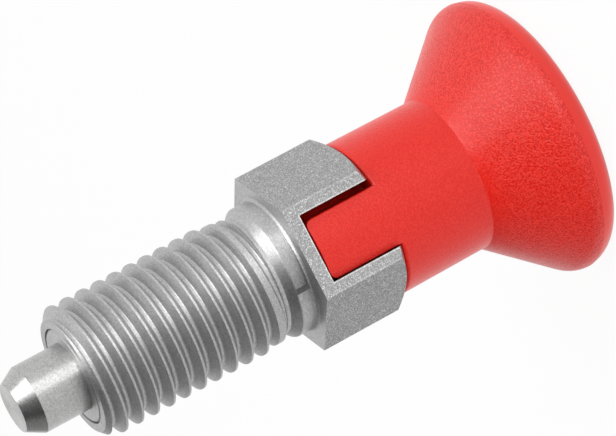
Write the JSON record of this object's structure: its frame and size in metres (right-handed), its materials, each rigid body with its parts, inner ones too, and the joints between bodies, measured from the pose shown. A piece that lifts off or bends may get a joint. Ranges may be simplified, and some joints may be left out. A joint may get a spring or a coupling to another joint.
{
  "type": "lock-out indexing plunger",
  "caption": "Spring-loaded index pin in a threaded, slotted hexagon body; a mushroom pull knob retracts it and can be turned to hold it back.",
  "frame": {"origin": "centre of the seat face, where the hexagon bears on the plate that the body is screwed into", "axes": "+Z along the axis towards the tip of the index pin; the lock-out slot opens towards -Y and +Y"},
  "size_m": [0.0252, 0.0252, 0.0516],
  "materials": {
    "body_steel": "blasted hexagon faces, turned sleeve and thread",
    "ground_steel": "hardened and ground",
    "spring_wire": "drawn spring wire",
    "knob_plastic": "moulded, fine spark-eroded grain"
  },
  "bodies": {
    "body": {"threaded_body": "body_steel", "guide_bush": "ground_steel", "spring": "spring_wire"},
    "pin": {"index_pin": "ground_steel"},
    "knob": {"pull_knob": "knob_plastic"}
  },
  "joints": [
    {"name": "knob_pull", "type": "slide", "parent": "body", "child": "pin", "axis": [0, 0, -1], "range_m": [0, 0.0076], "stiffness_N_per_m": 1600, "springref_m": -0.0038, "deforming": ["spring"]},
    {"name": "knob_turn", "type": "hinge", "parent": "pin", "child": "knob", "pos_m": [0, 0, -0.01], "axis": [0, 0, 1], "range_deg": [0, 5.2]}
  ]
}
